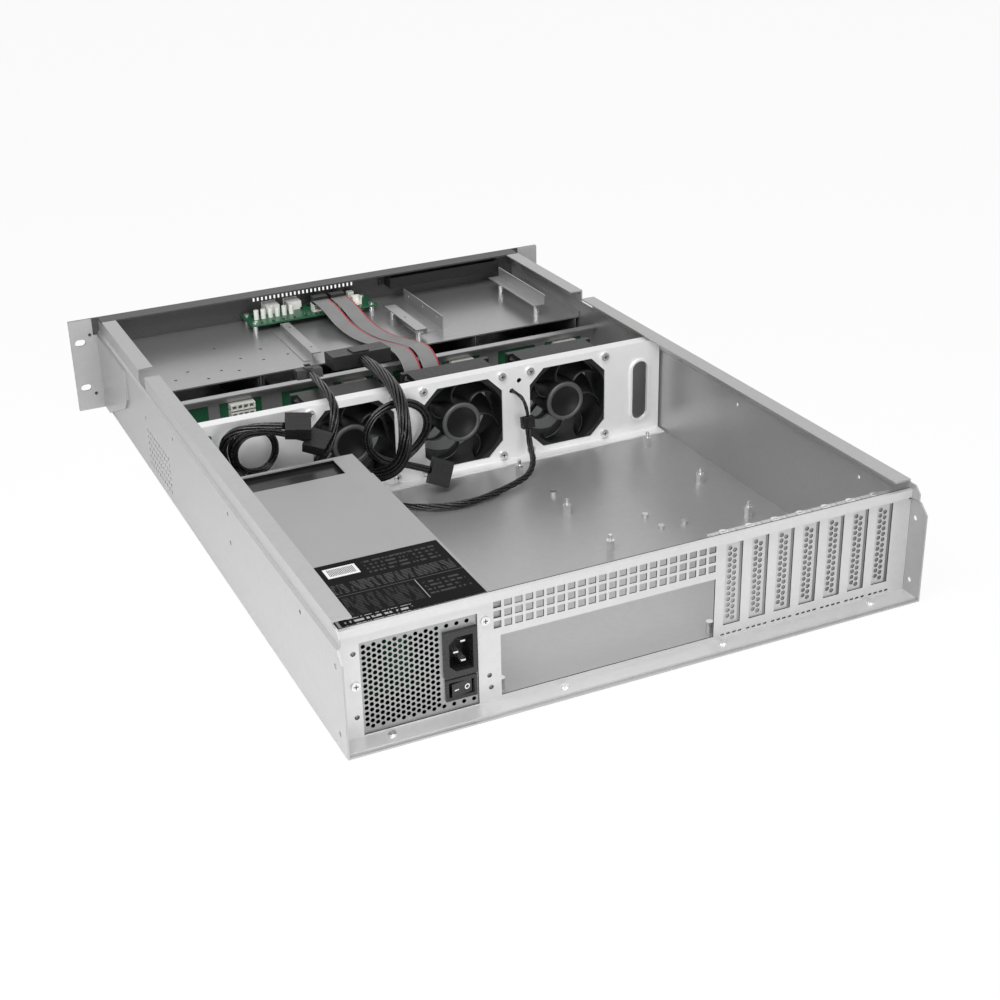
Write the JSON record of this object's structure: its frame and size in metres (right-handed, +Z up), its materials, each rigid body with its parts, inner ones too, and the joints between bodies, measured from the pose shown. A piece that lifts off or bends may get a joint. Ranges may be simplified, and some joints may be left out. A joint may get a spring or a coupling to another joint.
{
  "type": "rackmount server case",
  "caption": "Open two-unit steel rackmount server case without a lid, with drive bays, fan wall, power supply and rear card slots.",
  "frame": {"origin": "middle of the case's footprint, on the surface it stands on, measured without its loose cables", "axes": "+X to the right seen from the rear with the case upright is -X, so +X is the power supply's side; -Y is the front with the rack ears; +Z is up"},
  "size_m": [0.4826, 0.65, 0.0985],
  "materials": {
    "zinc_steel": "zinc-coated sheet steel, fine grain",
    "psu_steel": "nickel-coated sheet steel, satin",
    "bright_screws": "bright nickel",
    "black_film": "glossy insulating film",
    "green_board": "solder mask",
    "label_black": "printed film",
    "black_gloss_plastic": "moulded, semi-gloss",
    "black_rubber": "moulded",
    "black_plastic": "moulded, fine grain",
    "tray_black": "black paint",
    "white_plastic": "moulded nylon",
    "black_paint": "fine textured powder coat",
    "cable_black": "insulated wires in a bundle",
    "ribbon_grey": "flat grey ribbon with one red edge wire"
  },
  "bodies": {
    "case": {"chassis_tray": "zinc_steel", "rear_panel": "zinc_steel", "slot_rail": "zinc_steel", "slot_covers": "zinc_steel", "fan_wall": "zinc_steel", "drive_cage": "zinc_steel", "cage_cover": "zinc_steel", "backplane_frame": "zinc_steel", "rack_ear_left": "zinc_steel", "rack_ear_right": "zinc_steel", "plain_bracket": "zinc_steel", "raised_bracket": "zinc_steel", "angle_bracket": "zinc_steel", "far_bracket": "zinc_steel", "case_screws": "bright_screws", "standoffs": "bright_screws", "psu_case": "psu_steel", "psu_cover": "psu_steel", "psu_film": "black_film", "psu_board": "green_board", "backplane_board": "green_board", "control_board": "green_board", "psu_label": "label_black", "psu_inlet": "black_gloss_plastic", "psu_switch_housing": "black_gloss_plastic", "psu_gland": "black_rubber", "fan_frame_1": "black_plastic", "fan_frame_2": "black_plastic", "fan_frame_3": "black_plastic", "power_sockets": "white_plastic", "control_board_parts": "white_plastic", "front_panel": "black_paint", "slim_bay_blank": "black_plastic", "main_cable": "cable_black", "processor_cable": "cable_black", "drive_cable": "cable_black", "fan_power_cable": "cable_black", "fan_lead": "cable_black", "peripheral_cable": "cable_black", "graphics_cable": "cable_black", "main_plug": "black_plastic", "processor_plug": "black_plastic", "drive_plugs": "black_plastic", "fan_plug": "black_plastic", "ribbon_plugs": "black_plastic", "ribbon_cables": "ribbon_grey"},
    "drive_tray_1_1": {"drive_tray_1_1": "tray_black"},
    "drive_tray_1_2": {"drive_tray_1_2": "tray_black"},
    "drive_tray_2_1": {"drive_tray_2_1": "tray_black"},
    "drive_tray_2_2": {"drive_tray_2_2": "tray_black"},
    "drive_tray_3_1": {"drive_tray_3_1": "tray_black"},
    "drive_tray_3_2": {"drive_tray_3_2": "tray_black"},
    "drive_tray_4_1": {"drive_tray_4_1": "tray_black"},
    "drive_tray_4_2": {"drive_tray_4_2": "tray_black"},
    "fan_rotor_1": {"fan_rotor_1": "black_plastic"},
    "fan_rotor_2": {"fan_rotor_2": "black_plastic"},
    "fan_rotor_3": {"fan_rotor_3": "black_plastic"},
    "psu_switch_rocker": {"psu_switch_rocker": "black_gloss_plastic"},
    "power_button": {"power_button": "black_plastic"},
    "reset_button": {"reset_button": "black_plastic"}
  },
  "joints": [
    {"name": "drive_tray_1_1_slide", "type": "slide", "parent": "case", "child": "drive_tray_1_1", "axis": [0, -1, 0], "range_m": [0, 0.14]},
    {"name": "drive_tray_1_2_slide", "type": "slide", "parent": "case", "child": "drive_tray_1_2", "axis": [0, -1, 0], "range_m": [0, 0.14]},
    {"name": "drive_tray_2_1_slide", "type": "slide", "parent": "case", "child": "drive_tray_2_1", "axis": [0, -1, 0], "range_m": [0, 0.14]},
    {"name": "drive_tray_2_2_slide", "type": "slide", "parent": "case", "child": "drive_tray_2_2", "axis": [0, -1, 0], "range_m": [0, 0.14]},
    {"name": "drive_tray_3_1_slide", "type": "slide", "parent": "case", "child": "drive_tray_3_1", "axis": [0, -1, 0], "range_m": [0, 0.14]},
    {"name": "drive_tray_3_2_slide", "type": "slide", "parent": "case", "child": "drive_tray_3_2", "axis": [0, -1, 0], "range_m": [0, 0.14]},
    {"name": "drive_tray_4_1_slide", "type": "slide", "parent": "case", "child": "drive_tray_4_1", "axis": [0, -1, 0], "range_m": [0, 0.14]},
    {"name": "drive_tray_4_2_slide", "type": "slide", "parent": "case", "child": "drive_tray_4_2", "axis": [0, -1, 0], "range_m": [0, 0.14]},
    {"name": "fan_1_spin", "type": "hinge", "parent": "case", "child": "fan_rotor_1", "pos_m": [-0.122, -0.047, 0.043], "axis": [0, 1, 0], "continuous": true},
    {"name": "fan_2_spin", "type": "hinge", "parent": "case", "child": "fan_rotor_2", "pos_m": [-0.0242, -0.047, 0.043], "axis": [0, 1, 0], "continuous": true},
    {"name": "fan_3_spin", "type": "hinge", "parent": "case", "child": "fan_rotor_3", "pos_m": [0.0736, -0.047, 0.043], "axis": [0, 1, 0], "continuous": true},
    {"name": "switch_rock", "type": "hinge", "parent": "case", "child": "psu_switch_rocker", "pos_m": [0.1307, 0.3045, 0.0185], "axis": [0, 0, -1], "range_deg": [0, 17]},
    {"name": "power_press", "type": "slide", "parent": "case", "child": "power_button", "axis": [0, 1, 0], "range_m": [0, 0.001], "stiffness_N_per_m": 600, "springref_m": -0.001},
    {"name": "reset_press", "type": "slide", "parent": "case", "child": "reset_button", "axis": [0, 1, 0], "range_m": [0, 0.001], "stiffness_N_per_m": 600, "springref_m": -0.001}
  ]
}
